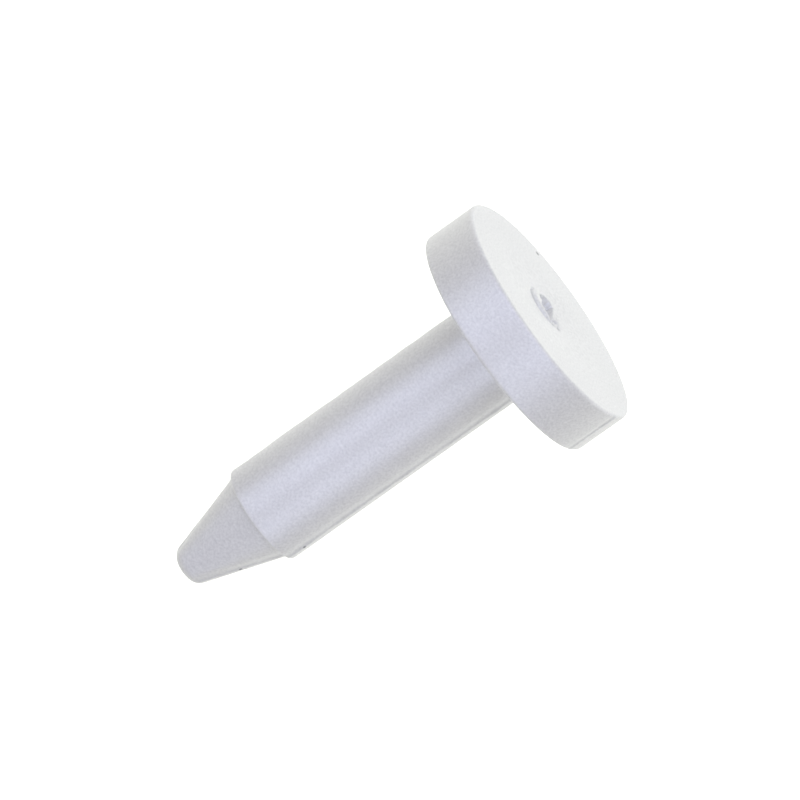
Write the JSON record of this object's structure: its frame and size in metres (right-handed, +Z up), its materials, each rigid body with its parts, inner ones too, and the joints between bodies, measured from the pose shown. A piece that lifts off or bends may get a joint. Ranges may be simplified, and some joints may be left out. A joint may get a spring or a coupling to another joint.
{
  "type": "wall anchor",
  "caption": "Plain push-in wall anchor: a flat round head on a straight round shank that steps down to a short tapered nose.",
  "frame": {"origin": "middle of the head's wall-side face, where the shank leaves the head and the wall's surface lies", "axes": "+Y along the shank's axis into the wall, towards the nose; +Z up; +X to the right for someone facing the wall"},
  "size_m": [0.0142, 0.0256, 0.0142],
  "materials": {
    "white_plastic": "satin moulded white with a faint cool tint"
  },
  "bodies": {
    "root": {"head": "white_plastic", "shank": "white_plastic", "nose": "white_plastic"}
  },
  "joints": []
}
